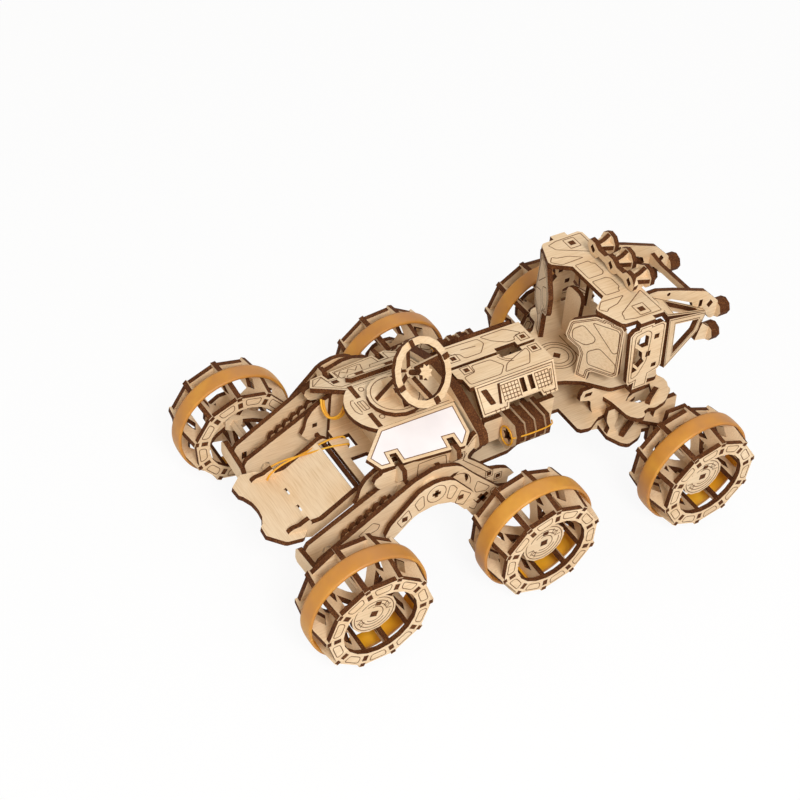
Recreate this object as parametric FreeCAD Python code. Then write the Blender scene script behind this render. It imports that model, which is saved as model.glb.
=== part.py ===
import FreeCAD, Part
import math
import os
from FreeCAD import Matrix, Vector

# Six-wheeled rover, a laser-cut plywood model kit.  Every piece is a flat sheet of ply,
# slotted or stacked, with rubber bands for tyres.  Millimetres, +X forward, +Y left, +Z up.
# The pieces are laid out about the middle axle: X from it, Z from the level of the axles.
# export() moves them to the final frame, whose origin is on the floor below the middle.

PLY = 3.0            # thickness of every sheet
CHORD_SAG = 0.4      # rounds are chords that leave the true arc by about this much

# Wheels
AXLE_X = {"rear": -107.75, "mid": 0.0, "front": 111.67}
WHEEL_OUTER_Y = 94.0      # outer face of a wheel, from the centre plane
WHEEL_WIDTH = 34.0
SIDES = 10                # a wheel's side ring is a decagon
RIM_R = 31.0              # to the corners of that decagon
RING_BORE_R = 21.8
FIN_TIP_R = 32.0          # the fins' ends, which stand proud of the ring's corners
FIN_PEAK_R = 33.6         # the fins' top, which carries the tyre
TYRE_R = 35.6
TYRE_WIDTH = 10.5
TYRE_SIDES = 24
HUB_R = 13.0
AXLE_R = 2.5
RUNNING_GAP = 0.08        # radial play of a bar that turns in a hole
BORE_R = AXLE_R + RUNNING_GAP
BAR_SQUARENESS = 0.72     # half a turning bar's thickness, as a share of its corners' radius

# Hull
DECK_Z = 55.5             # top of the rear deck
DECK_HALF = 17.0
SLOPE = math.radians(15.1)     # the panels beside the deck fall outwards
ROOF_Z = 62.0             # top of the middle hull's roof
ROOF_HALF = 17.5
KEYPAD_SLOPE = math.radians(47.6)
HULL_SIDE_Y = 37.0        # inner face of the hull's side plates
ARCH_X = -19.8            # rear face of the double arch
FRAME_X = (-6.0, 38.0)    # rear faces of the middle hull's two frames
FRAME_HALF = 25.4
CARGO_WALL_Y = 25.4       # inner face of the cargo bay's walls, which are two plies thick
CARGO_FLOOR_Z = 20.0
CARGO_END_X = -56.2       # the bay's front wall
BELLY_Z = 7.0

# Bogies: a beam of two plates each side, with a cover over its pivot
BEAM_INNER_Y = 34.0
BEAM_OUTER_Y = 47.0
COVER_Y = 53.5
PIVOT_X, PIVOT_Z = -54.0, 35.0

# Cab
CAB_FLOOR_Z = 40.3
CAB_ROOF_Z = 90.5
CAB_SIDE_Y = 40.5
CAB_REAR_TURN = math.atan2(16.8, 8.3)    # plan angle of the rear panels
NOSE_ARM_Y = 21.8
NOSE_TIP_X = 163.35
EYE_R = 1.2               # small hole through both nose arms

# Tail ramp
HINGE_X, HINGE_Z = -79.0, 17.2
HINGE_R = 1.5
TRAY_SLOPE = math.radians(31.0)
FOLD_X, FOLD_Z = -109.0, 0.8
LIP_RISE = 0.17
RAMP_SIDE_Y = 20.0

# Antenna
MAST_X = -47.8
TURNTABLE_R = 15.4
PIVOT_R = 2.0
DISH_CENTRE = Vector(-40.0, -10.2, 79.3)
DISH_NORMAL = Vector(0.19, -0.79, 0.58)
DISH_R = 19.0
DISH_BORE_R = 15.0
RING_SIDES = 18           # flats on the rims of the dish and the turntable

# Final frame
SHIFT = Vector(-(NOSE_TIP_X + AXLE_X["rear"] - TYRE_R) / 2, 0, TYRE_R)


# --- sheets -----------------------------------------------------------------------------

def chord_count(radius, sweep):
    step = 2 * math.acos(1 - min(CHORD_SAG / radius, 0.9))
    return max(1, round(sweep / step))


def rounded(before, corner, after, radius):
    """Chords that round a corner, from the side before it to the side after."""
    back, on = before.sub(corner).normalize(), after.sub(corner).normalize()
    half = back.getAngle(on) / 2
    sweep = math.pi - 2 * half
    centre = corner + (back + on).normalize() * (radius / math.sin(half))
    reach = radius / math.tan(half)
    first, last = corner + back * reach - centre, corner + on * reach - centre
    chords = chord_count(radius, sweep)
    turns = [sweep * k / chords for k in range(chords + 1)]
    return [centre + (first * math.sin(sweep - t) + last * math.sin(t)) * (1 / math.sin(sweep))
            for t in turns]


def outline(points):
    """Closed wire in the UV plane.  A point's third number rounds that corner."""
    corners = [Vector(p[0], p[1], 0) for p in points]
    path = []
    for i, point in enumerate(points):
        if len(point) > 2 and point[2]:
            path += rounded(corners[i - 1], corners[i], corners[(i + 1) % len(points)], point[2])
        else:
            path.append(corners[i])
    path = [p for i, p in enumerate(path) if p.distanceToPoint(path[i - 1]) > 1e-3]
    return Part.makePolygon(path + path[:1])


def round_plate(u, v, radius, count=0):
    """Corners of a round outline, whose sides touch the circle at their middles."""
    count = count or max(8, chord_count(radius, 2 * math.pi))
    reach = radius / math.cos(math.pi / count)
    turns = [2 * math.pi * i / count for i in range(count)]
    return [(u + reach * math.cos(t), v + reach * math.sin(t)) for t in turns]


def circle(u, v, radius, count=0):
    return outline(round_plate(u, v, radius, count))


def box_hole(u, v, wide, high, corner=0.0):
    """Rectangular outline about (u, v)."""
    a, b = wide / 2, high / 2
    sides = [(u - a, v - b), (u + a, v - b), (u + a, v + b), (u - a, v + b)]
    return outline([(p[0], p[1], corner) for p in sides])


def sheet(shape, holes=(), thick=PLY):
    """Ply cut to an outline, from w = 0 to w = thick, with its holes."""
    wire = shape if isinstance(shape, Part.Wire) else outline(shape)
    solid = Part.Face(wire).extrude(Vector(0, 0, thick))
    for hole in holes:
        cutter = Part.Face(hole).extrude(Vector(0, 0, thick + 2))
        cutter.translate(Vector(0, 0, -1))
        solid = solid.cut(cutter)
    return solid


def stand(shape, origin, u_axis, v_axis):
    """Puts a sheet's u, v and w axes at origin, along u_axis, v_axis and their normal."""
    u = Vector(u_axis).normalize()
    w = u.cross(Vector(v_axis)).normalize()
    v = w.cross(u)
    turn = Matrix(u.x, v.x, w.x, origin.x, u.y, v.y, w.y, origin.y,
                  u.z, v.z, w.z, origin.z, 0, 0, 0, 1)
    placed = shape.copy()
    placed.transformShape(turn)
    return placed


def along(points, y, holes=(), thick=PLY):
    """Upright sheet along the rover: an XZ outline, from y to y + thick."""
    return stand(sheet(points, holes, thick), Vector(0, y + thick, 0),
                 Vector(1, 0, 0), Vector(0, 0, 1))


def across(points, x, holes=(), thick=PLY):
    """Upright sheet across the rover: a YZ outline, from x to x + thick."""
    return stand(sheet(points, holes, thick), Vector(x, 0, 0),
                 Vector(0, 1, 0), Vector(0, 0, 1))


def level(points, z, holes=(), thick=PLY):
    """Level sheet: an XY outline, from z to z + thick."""
    return stand(sheet(points, holes, thick), Vector(0, 0, z),
                 Vector(1, 0, 0), Vector(0, 1, 0))


def facet(corners, inset=0.0):
    """Sheet whose outer face has these corners, anticlockwise from outside, and a window."""
    origin, first, last = corners[0], corners[1], corners[-1]
    u = first.sub(origin).normalize()
    w = u.cross(last.sub(origin)).normalize()
    v = w.cross(u)
    flat = [(p.sub(origin).dot(u), p.sub(origin).dot(v)) for p in corners]
    holes = []
    if inset:
        mid_u = sum(p[0] for p in flat) / len(flat)
        mid_v = sum(p[1] for p in flat) / len(flat)
        holes = [outline([(mid_u + (p[0] - mid_u) * inset, mid_v + (p[1] - mid_v) * inset)
                          for p in flat])]
    solid = sheet(flat, holes)
    solid.translate(Vector(0, 0, -PLY))
    return stand(solid, origin, u, v)


def mirrored(shape):
    return shape.mirror(Vector(0, 0, 0), Vector(0, 1, 0))


def pair(shape):
    """A right-hand solid and its mirror image, as one node."""
    return Part.makeCompound([shape, mirrored(shape)])


def both_halves(half):
    """Whole outline from its half at positive v, listed with rising distance."""
    return half + [(p[0], -p[1]) + tuple(p[2:]) for p in reversed(half) if abs(p[1]) > 1e-6]


def both_sides(half):
    """Whole outline from its half at positive u, for pieces drawn (y, z)."""
    return half + [(-p[0],) + tuple(p[1:]) for p in reversed(half) if abs(p[0]) > 1e-6]


def fuse(shapes):
    solid = shapes[0].multiFuse(shapes[1:])
    return solid.removeSplitter()


def axle_bar(start, end, radius):
    """Square bar from one point to another, its corners rounded to run in a bore."""
    line = end.sub(start)
    core = Part.makeCylinder(radius, line.Length, start, line)
    half = BAR_SQUARENESS * radius
    bar = sheet([(-half, -half), (half, -half), (half, half), (-half, half)], (), line.Length)
    u = Vector(1, 0, 0) if abs(line.y) > abs(line.z) else Vector(0, 1, 0)
    return core.common(stand(bar, start, u, line.cross(u)))


# --- wheels -----------------------------------------------------------------------------

def wheel_fin():
    """Radial sheet between the side rings, with a leaf-shaped hole and a peak for the tyre."""
    inner, seat_end = RING_BORE_R + 0.6, (WHEEL_WIDTH - TYRE_WIDTH) / 2 - 1
    points = [(0, inner), (WHEEL_WIDTH, inner), (WHEEL_WIDTH, FIN_TIP_R),
              (WHEEL_WIDTH - seat_end, FIN_PEAK_R), (seat_end, FIN_PEAK_R), (0, FIN_TIP_R)]
    middle = WHEEL_WIDTH / 2
    leaf = outline([(middle - 6, 26.2), (middle, 29.4), (middle + 6, 26.2), (middle, 23.4)])
    fin = sheet(points, [leaf])
    fin.translate(Vector(0, 0, -PLY / 2))
    return stand(fin, Vector(0, 0, 0), Vector(0, 1, 0), Vector(0, 0, 1))


def wheel_gusset():
    """Curved blade from the hub out to a fin."""
    points = [(14, 3), (27, 3), (27, 9), (20, 14), (17, 23), (9, 23), (13, 12)]
    blade = sheet(points)
    blade.translate(Vector(0, 0, -PLY / 2))
    return stand(blade, Vector(0, 0, 0), Vector(0, 1, 0), Vector(0, 0, 1))


def wheel_frame():
    """Two decagonal rings, ten fins, hub and axle.  Inner face at y = 0, axis along Y."""
    step = 360.0 / SIDES
    corners = [(RIM_R * math.sin(math.radians(step * i)), RIM_R * math.cos(math.radians(step * i)))
               for i in range(SIDES)]
    rings = [along(corners, y, [circle(0, 0, RING_BORE_R, 2 * SIDES)])
             for y in (0, WHEEL_WIDTH - PLY)]
    parts = rings
    for i in range(SIDES):
        spoke = [wheel_fin()] if i % 2 else [wheel_fin(), wheel_gusset()]
        for piece in spoke:
            piece.rotate(Vector(0, 0, 0), Vector(0, 1, 0), step * i)
            parts.append(piece)
    hub_disc = along(round_plate(0, 0, HUB_R), 24)
    drum = along(round_plate(0, 0, 5.5, 6), 13, (), 11)
    axle_start = BEAM_INNER_Y - 2 - (WHEEL_OUTER_Y - WHEEL_WIDTH)
    axle = axle_bar(Vector(0, axle_start, 0), Vector(0, 24, 0), AXLE_R)
    return fuse(parts + [hub_disc, drum, axle])


def tyre():
    """Broad rubber band, a little crowned, about the fins' peaks."""
    low, high = (WHEEL_WIDTH - TYRE_WIDTH) / 2, (WHEEL_WIDTH + TYRE_WIDTH) / 2

    def hoop(radius, y):
        turns = [2 * math.pi * i / TYRE_SIDES for i in range(TYRE_SIDES)]
        points = [Vector(radius * math.cos(t), y, radius * math.sin(t)) for t in turns]
        return Part.makePolygon(points + points[:1])

    inner = (FIN_PEAK_R + 0.05) / math.cos(math.pi / TYRE_SIDES)
    crown = [hoop(TYRE_R - 0.5, low), hoop(TYRE_R, low + 2), hoop(TYRE_R, high - 2),
             hoop(TYRE_R - 0.5, high)]
    bore = Part.makeLoft([hoop(inner, low - 1), hoop(inner, high + 1)], True, True)
    return Part.makeLoft(crown, True, True).cut(bore)


def wheels():
    """Six wheels.  A row is the axle, the side and the angle at which the wheel came to rest."""
    rest = (("rear", "left", 30.1), ("mid", "left", 12.0), ("front", "left", 21.0),
            ("rear", "right", 17.3), ("mid", "right", 0.0), ("front", "right", 3.6))
    frame, band = wheel_frame(), tyre()
    nodes = {}
    for axle, side, angle in rest:
        turned = frame.copy()
        turned.rotate(Vector(0, 0, 0), Vector(0, 1, 0), angle)
        for name, shape in (("wheel", turned), ("tyre", band)):
            piece = shape.copy()
            piece.translate(Vector(AXLE_X[axle], WHEEL_OUTER_Y - WHEEL_WIDTH, 0))
            nodes[f"{name}_{axle}_{side}"] = piece if side == "left" else mirrored(piece)
    return nodes


# --- hull -------------------------------------------------------------------------------

def slope_place(shape):
    """Puts a sheet, drawn (x, distance down the slope), beside the deck on the right."""
    return stand(shape, Vector(0, -DECK_HALF, DECK_Z), Vector(1, 0, 0),
                 Vector(0, -math.cos(SLOPE), -math.sin(SLOPE)))


def keypad_place(shape):
    """Puts a sheet, drawn (x, distance down), on the right flank below the roof."""
    return stand(shape, Vector(0, -ROOF_HALF, ROOF_Z - 0.5), Vector(1, 0, 0),
                 Vector(0, -math.cos(KEYPAD_SLOPE), -math.sin(KEYPAD_SLOPE)))


def hull():
    nodes = {}
    nodes["belly_plate"] = level(both_halves(
        [(-56, 0), (-56, 27, 3), (-20, 26.5), (16, 25.5, 3), (38, 17.7, 3),
         (46, 17.7), (46, 0)]), BELLY_Z)
    side = [(-84, 43, 2), (-79, 45.9), (-78, 47.2), (-29, 47.2), (-25, 44), (-21.5, 50, 2),
            (-19, 51.4), (-12.8, 48.9, 2), (-10.9, 45, 2), (-12.5, 40.8), (-19, 41.2, 2),
            (-22.7, 38.3, 2), (-24.5, 34.5, 2), (-18, 29, 5), (-12.7, 24), (-6, 17.3, 3),
            (0, 15.6, 4), (6, 12.9, 4), (10.8, 7), (4.6, 4.8, 2), (-2, 6, 4), (-13, 14.5, 5),
            (-26, 27, 6), (-36, 31, 3), (-60, 32, 3), (-80, 36, 3)]
    side_holes = [box_hole(-66.6, 39, 5, 3), box_hole(-29.5, 38, 5, 3),
                  outline([(-18.4, 43.2), (-14.4, 43.6), (-13.4, 46.8), (-17.4, 47.2)]),
                  box_hole(-7, 14.5, 3, 3), box_hole(-0.5, 10, 3, 3)]
    tab = [(-47, 44.8), (-42.4, 38.4), (-HULL_SIDE_Y - 1, 38), (-HULL_SIDE_Y - 1, 46),
           (-41, 50), (-45.6, 49.6)]
    right = fuse([along(side, -HULL_SIDE_Y - PLY, side_holes)]
                 + [across(tab, x) for x in (-70, -36.1)])
    nodes["hull_side_right"], nodes["hull_side_left"] = right, mirrored(right)

    nodes.update(cargo_bay())
    bow_r, bow_x = 22.1, -76.5
    bow = [(bow_x + bow_r - math.sqrt(bow_r ** 2 - y ** 2), y) for y in (0, 5, 9.5, 13.5, 16.9)]
    nodes["rear_deck"] = level(both_halves(bow + [(ARCH_X, 16.9), (ARCH_X, 0)]), DECK_Z - PLY,
                               [circle(MAST_X, 0, PIVOT_R + RUNNING_GAP)])

    panel = sheet([(-67.9, 0), (-20.5, 0.2), (-21.9, 20.1), (-28.5, 27), (-32, 26.6),
                   (-32.4, 19.5), (-36.4, 19.2), (-36.8, 26.2), (-66, 23.8),
                   (-66.4, 16.6), (-70.4, 16.3), (-70.8, 23.4), (-78.5, 22.7),
                   (-83.2, 14.4)])
    nodes["sloped_panel_right"] = slope_place(panel)
    bar = sheet([(-62, 5.4), (-30, 5.4), (-27.6, 7.8), (-30, 10.2),
                 (-62, 10.2), (-64.4, 7.8)])
    bar.translate(Vector(0, 0, -PLY))
    nodes["sloped_panel_left"] = mirrored(slope_place(fuse([panel, bar])))

    arch = both_sides([(0, 61.5), (12, 61.5, 2), (24, 57.5, 3), (41.5, 51, 3), (44, 45, 2),
                       (41, 40, 2), (36.8, 38), (26, 10)])
    nodes["arch_ribs"] = across(arch, ARCH_X, [box_hole(0, 31, 28, 26, 4)], 2 * PLY)
    frame = both_sides([(0, 59), (16.4, 59), (FRAME_HALF, 49), (FRAME_HALF, 20), (19, 10)])
    frames = [across(frame, x, [box_hole(0, 34, 26, 26, 3)]) for x in FRAME_X]
    nodes["hull_frames"] = Part.makeCompound(frames)

    roof = level([(-10.7, -ROOF_HALF), (44.8, -ROOF_HALF), (44.8, -1), (33, -1), (33, -4),
                  (19, -4), (19, -1), (-13, -1), (-13, -8), (-10.7, -10)], ROOF_Z - PLY)
    nodes["roof_panel_right"], nodes["roof_panel_left"] = roof, mirrored(roof)
    base = sheet([(-8, 0), (44.8, 0), (42, 17.5), (32, 17.5), (31, 14.5), (10, 14.5),
                  (9, 17.5), (-8, 17.5)])
    keys = sheet([(6, 2.5), (41, 2.5), (39, 13.5), (4, 13.5)],
                 [box_hole(20, 7.5, 3.2, 8), box_hole(25.5, 7.5, 3.2, 8)])
    keys.translate(Vector(0, 0, -PLY))
    keypad = keypad_place(fuse([base, keys]))
    nodes["keypad_panel_right"], nodes["keypad_panel_left"] = keypad, mirrored(keypad)
    return nodes


def cargo_bay():
    """Floor, front wall and side walls behind the tail ramp, and the rod the ramp hangs on."""
    floor_under = CARGO_FLOOR_Z - PLY
    hatch = outline([(-72.7, 0.9), (-62.5, 0.9), (-60, -1.5), (-60, -18.5), (-72.7, -18.5)])
    hook = outline([(-69.8, 18.4), (-63.8, 18.4), (-63.8, 8), (-69.6, 8), (-69.2, 10.3),
                    (-67.4, 11.2), (-66.4, 13.6), (-67.4, 16), (-69.6, 16.6)])
    floor = level([(-77.2, -18.6), (-73.4, -18.6), (-73.4, -CARGO_WALL_Y),
                   (CARGO_END_X + PLY, -CARGO_WALL_Y), (CARGO_END_X + PLY, CARGO_WALL_Y),
                   (-73.4, CARGO_WALL_Y), (-73.4, 18.6), (-77.2, 18.6)], floor_under,
                  [hatch, hook])
    front = across([(-CARGO_WALL_Y, CARGO_FLOOR_Z), (CARGO_WALL_Y, CARGO_FLOOR_Z),
                    (CARGO_WALL_Y, 51), (DECK_HALF - 1, DECK_Z - PLY),
                    (1 - DECK_HALF, DECK_Z - PLY), (-CARGO_WALL_Y, 51)], CARGO_END_X)
    inner = along([(-72.3, 10), (-50, 10), (-50, 50.6), (-70, 50.6), (-72.3, 46)],
                  -CARGO_WALL_Y - PLY, [box_hole(-63, 34, 4, 4)])
    outer_y = CARGO_WALL_Y + 2 * PLY
    outer = along([(-88.5, 20), (-86.5, 24), (-85.3, 31, 4), (-82, 36.3, 4), (-76.2, 40.5, 6),
                   (-70, 42.4), (-60, 43), (-60, 10), (-72, 10), (-84, 14.5, 2)], -outer_y,
                  [box_hole(-80.3, 24.7, 3, 3), box_hole(-63, 34, 4, 4)])
    rod = axle_bar(Vector(HINGE_X, -outer_y, HINGE_Z), Vector(HINGE_X, outer_y, HINGE_Z), HINGE_R)
    walls = fuse([inner, outer, mirrored(inner), mirrored(outer), rod])
    return {"cargo_floor": floor, "cargo_bulkhead": front, "cargo_walls": walls}


def tank():
    """Right-hand tank: seven plates of a six-cornered section, with a star hole in the last."""
    section = [(-25, 46), (-40.5, 46), (-43.7, 40), (-43.7, 34), (-36, 24.4), (-28, 25)]
    middle_y, middle_z = -35.7, 35.0
    star = []
    for i in range(12):
        r, t = (5.0, 2.6)[i % 2], math.radians(30 * i)
        star.append((middle_y + r * math.cos(t), middle_z + r * math.sin(t)))
    first, pitch, count = 5.5, 3.33, 7
    plates = []
    for i in range(count):
        scale = (1.0, 0.88)[i % 2]
        points = [(middle_y + (y - middle_y) * scale, middle_z + (z - middle_z) * scale)
                  for y, z in section]
        plates.append(across(points, first + pitch * i, [outline(star)] if i == 0 else ()))
    core = across([(-26, 30), (-26, 42), (-40, 42), (-40, 32)], first + PLY, (),
                  pitch * (count - 1))
    back = along([(FRAME_X[0], 26), (FRAME_X[1] + PLY, 26), (FRAME_X[1] + PLY, 43),
                  (FRAME_X[0], 43)], -FRAME_HALF - PLY)
    return fuse(plates + [core, back])


# --- bogies -----------------------------------------------------------------------------

def bogies():
    """Each beam arches from the rear axle over its pivot to the middle axle."""
    bores = [circle(AXLE_X["rear"], 0, BORE_R), circle(0, 0, BORE_R)]
    outer = [(-121, 8, 3), (-120, -7, 5), (-101, -9, 6), (-76, 4, 8), (-62, 18, 10),
             (-48, 22, 10), (-35, 17, 8), (-22, -3, 6), (-8, -10, 6), (9, -9, 7), (10, 7, 7),
             (-7, 13, 5), (-24, 30, 8), (-36, 43, 8), (-50, 47.5, 10), (-64, 43, 8)]
    inner = [(p[0], p[1] - 4.0 * (p[1] > 40)) + tuple(p[2:]) for p in outer]
    spoked = [outline([(-44, 32), (-41, 38.5, 2), (-36, 38.5)]),
              outline([(-33, 37), (-28.5, 31, 2), (-30.5, 28)])]
    slot = outline([(-113, -2.5), (-113, 2.5), (-116, 2.5), (-116, -2.5)])
    cover = [(-85, 15, 3), (-81, 24, 3), (-64, 42, 7), (-54, 44.5, 8), (-44, 42, 7), (-29, 25, 2),
             (-27.5, 22, 2), (-32, 12, 2), (-42, 24, 7), (-54, 27.5, 8), (-66, 25, 6), (-80, 12, 3)]
    nodes = {}
    plate_in = along(inner, -BEAM_INNER_Y - PLY, bores)
    plate_out = along(outer, -BEAM_OUTER_Y - PLY, bores + spoked + [slot])
    boss = along(round_plate(PIVOT_X, PIVOT_Z, 7), -COVER_Y, (), COVER_Y - BEAM_OUTER_Y - PLY)
    shell = fuse([along(cover, -COVER_Y - PLY), boss])
    for name, shape in (("bogie_inner", plate_in), ("bogie_outer", plate_out),
                        ("bogie_cover", shell)):
        nodes[name + "_right"], nodes[name + "_left"] = shape, mirrored(shape)
    gap = (BEAM_INNER_Y + PLY, BEAM_OUTER_Y)
    spacers = [across([(-gap[1], low), (-gap[0], low), (-gap[0], high), (-gap[1], high)], x)
               for x, low, high in ((-92.4, 0, 13), (-46, 25, 40), (-66, 22, 37), (-18.5, 0, 13))]
    tail = across([(-57, -3, 2), (-31.5, -5, 2), (-31.5, 5, 2), (-57, 8, 2)], -124)
    teeth = []
    for i in range(6):
        x = -102 + 4.6 * i
        z = 12.5 + 0.62 * (x + 102)
        teeth += [(x, z), (x + 1.1, z + 3), (x + 3.2, z + 3.6), (x + 4, z + 1.6)]
    rack = along([(-102, 2)] + teeth + [(-73, 30), (-70, 26), (-79, 8, 6)], -43.5)
    linked = spacers[0].fuse(rack)
    nodes["bogie_spacers"] = Part.makeCompound(
        [s for spacer in spacers[1:] + [linked, tail] for s in (spacer, mirrored(spacer))])
    return nodes


# --- front end --------------------------------------------------------------------------

def front_end():
    """Two upright spines with eared tails, wishbones through them, and the front knuckles."""
    nodes = {}
    axle_x, spine_y = AXLE_X["front"], 30.0
    nodes["front_subframe"] = level(both_halves(
        [(41, 0), (41, 17.7), (54.7, 18.3), (54.8, 38.6, 2), (62, 40, 3), (71, 35), (96, 32),
         (126, 22, 4), (126, 0)]), 17.0)
    spine = along([(59.3, 33.3), (59.2, 37), (60.5, CAB_FLOOR_Z), (108, CAB_FLOOR_Z),
                   (120, 26, 6), (130, 14, 3), (128, -2, 3), (86, -2, 4), (76.9, 4, 2),
                   (67.6, 6.1), (67.3, 13.7), (71.7, 16.7), (68.4, 25, 5), (67.4, 30.6, 2)],
                  -spine_y,
                  [outline([(61.9, 35.1), (66.9, 34.9), (67.6, 37.4), (62.6, 37.9)]),
                   outline([(71.2, 8.2), (74.4, 8.2), (75.4, 10.6), (72.2, 10.7)]),
                   outline([(88, 9.5), (112, 9.5), (106, 15), (88, 15)])])

    def rooted(points, first_x, last_x):
        """Arm's outline with two tabs, which pass through the spine."""
        tabs = []
        for x in (last_x, first_x + 8):
            tabs += [(x, -spine_y), (x, -spine_y + PLY), (x - 8, -spine_y + PLY), (x - 8, -spine_y)]
        return points + tabs

    upper = level(rooted([(76.5, -30), (78.2, -36), (79.6, -49.9, 4), (84.5, -54.8, 3),
                          (89, -53.8, 2), (90.5, -50.5), (94.3, -49.6), (98.3, -51, 3),
                          (107, -49.2, 6), (113.5, -44.3, 5), (119, -35, 4), (117, -30)], 81, 112),
                  27.0,
                  [outline([(86, -38.8), (93.5, -33.5, 8), (108, -33), (105, -38.5), (94, -45, 3)])])
    lower = level(rooted([(77, -30), (76, -40), (80, -48.5, 3), (83.5, -51.5, 2),
                          (94.2, -48.8, 6), (98, -44.5), (106, -46), (106, -58), (117, -58),
                          (117, -44), (124, -30)], 84, 118), 4.5, [box_hole(109, -37, 12, 7)])
    upper_blade = stand(sheet([(1, -PLY), (18, -PLY), (16, 3.5, 2), (3, 3.5, 2)]),
                        Vector(93.2, -46.4, 30), Vector(0.86, 0.51, 0), Vector(0, 0, 1))
    lower_blade = stand(sheet([(0, -PLY), (17, -PLY), (15, 3, 2), (2, 3, 2)]),
                        Vector(81.6, -43.4, 7.5), Vector(0.88, 0.47, 0), Vector(0, 0, 1))
    rib = along([(74.5, 27), (81, 27), (83, 20, 7), (81.5, 12), (84, 7.5), (77, 7.5), (78, 12),
                 (74, 20, 7)], -39)
    knuckles = [along([(axle_x - 8, -7, 4), (axle_x + 8, -7, 4), (axle_x + 9, 4.5),
                       (axle_x + 7, 27), (axle_x - 7, 27), (axle_x - 9, 4.5)], y,
                      [circle(axle_x, 0, BORE_R)]) for y in (-46, -56.5)]
    tie = level([(94.6, -44.3), (107, -39.7), (119, -49), (119, -57), (104, -57), (103.5, -52)],
                13.0)
    nodes["front_spines"] = pair(spine)
    nodes["front_upper_arms"] = pair(fuse([upper, upper_blade, rib]))
    nodes["front_lower_arms"] = pair(fuse([lower, lower_blade]))
    nodes["front_knuckle_right"] = fuse(knuckles + [tie])
    nodes["front_knuckle_left"] = mirrored(nodes["front_knuckle_right"])
    return nodes


# --- cab --------------------------------------------------------------------------------

def cab():
    nodes = {}
    outer_y = CAB_SIDE_Y + PLY
    nodes["cab_floor"] = level(both_halves(
        [(42, 0), (42, 16, 2), (54, 20, 3), (63, 25, 4), (74, 37, 3), (84, 38.1), (84, outer_y),
         (94, outer_y), (94, 39.3), (104, 40.4, 2), (112, 30, 3), (112, 0)]), CAB_FLOOR_Z)
    window = [outline([(79.9, 79.2), (81.2, 82.2, 1), (85.2, 83.6, 1), (88.1, 81.6, 1),
                       (88.6, 74.8), (84.6, 74.6)]),
              outline([(79.3, 76.6), (85.4, 70.8), (86.4, 65.8), (88.2, 63.4),
                       (84.8, 59.8), (80.2, 64.8)]),
              outline([(80.6, 62), (84.6, 58), (80.9, 56.8)]),
              box_hole(90.1, 68.1, 3.2, 4), box_hole(93.8, 79.7, 3.4, 3.4),
              box_hole(96.2, 57.8, 3.4, 3)]
    side = along([(98.6, 89.5, 2.5), (102, 54, 2.5), (94, 51.7), (94, 43.3), (84, 43.3),
                  (84, 48.9), (79, 47.5, 2.5), (74, 88.5, 2.5), (80, 88.8), (80, CAB_ROOF_Z),
                  (90, CAB_ROOF_Z), (90, 89.2)], -outer_y, window)
    nodes["cab_side_right"], nodes["cab_side_left"] = side, mirrored(side)
    across_dir = Vector(-math.cos(CAB_REAR_TURN), math.sin(CAB_REAR_TURN), 0)
    rear = stand(sheet([(0, 89.5, 2), (-1.5, 53.4, 3), (15.7, 50.9, 2), (16.5, 43.3), (24, 43.3),
                        (23.2, 62.3, 3), (34, 67.1, 3), (32.2, 79.5, 3), (17.6, 89.5, 3),
                        (14, 89.5), (14, CAB_ROOF_Z), (6, CAB_ROOF_Z), (6, 89.5)]),
                 Vector(72.5, -39.7, 0), across_dir, Vector(0, 0, 1))
    nodes["cab_rear_panel_right"], nodes["cab_rear_panel_left"] = rear, mirrored(rear)
    nodes["cab_roof"] = level(both_halves(
        [(75.4, 0), (75.4, 14.6), (64.2, 22.3, 2), (71, 39.6, 2), (80, 40), (80, outer_y),
         (90, outer_y), (90, 40.4), (99.6, 40.8, 2), (99.6, 0)]), CAB_ROOF_Z)
    seat = fuse([level([(80, -20, 2), (95, -20, 2), (95, -6, 2), (80, -6, 2)], 52),
                 across([(-19, 43.3), (-7, 43.3), (-6, 76, 4), (-20, 76, 4)], 79)])
    nodes["cab_seats"] = pair(seat)
    return nodes


def roof_lamps():
    """Wavy bar standing on the roof's front edge, leaning back, with three lamps ahead of it."""
    lamp_y, bar_z, bar_x = (-16.8, 0.0, 16.8), 99.9, 89.9
    lean = math.radians(12)
    wave = both_halves([(-21.8, 0), (-20.2, 4.6), (-18.8, 5.9), (-14.8, 5.9), (-11.4, 2.4),
                        (-5.6, 2.4), (-2, 5.9), (2, 5.9), (5.6, 2.4),
                        (11.4, 2.4), (14.8, 5.9), (18.8, 5.9), (20.2, 4.6), (21.8, 0)])
    holes = [outline([(y, -3.6), (y + 2.1, 0), (y, 3.6), (y - 2.1, 0)]) for y in lamp_y]
    up = Vector(-math.sin(lean), 0, math.cos(lean))
    bar = stand(sheet(wave, holes), Vector(bar_x, 0, bar_z), Vector(0, 1, 0), up)
    parts = [bar]
    for y in lamp_y:
        glass = across(round_plate(y, 100.6, 6.4), 100.4)
        upright = along([(92.6, 93.5), (99, 93.5), (100.4, 94.6), (100.4, 106.6), (97, 104),
                         (91, 101.8), (91.6, 97.5)], y - PLY / 2)
        flat = level([(91.5, y - 2), (100.4, y - 5.5), (100.4, y + 5.5), (91.5, y + 2)],
                     100.6 - PLY / 2)
        parts += [glass, upright, flat]
    return fuse(parts)


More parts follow.
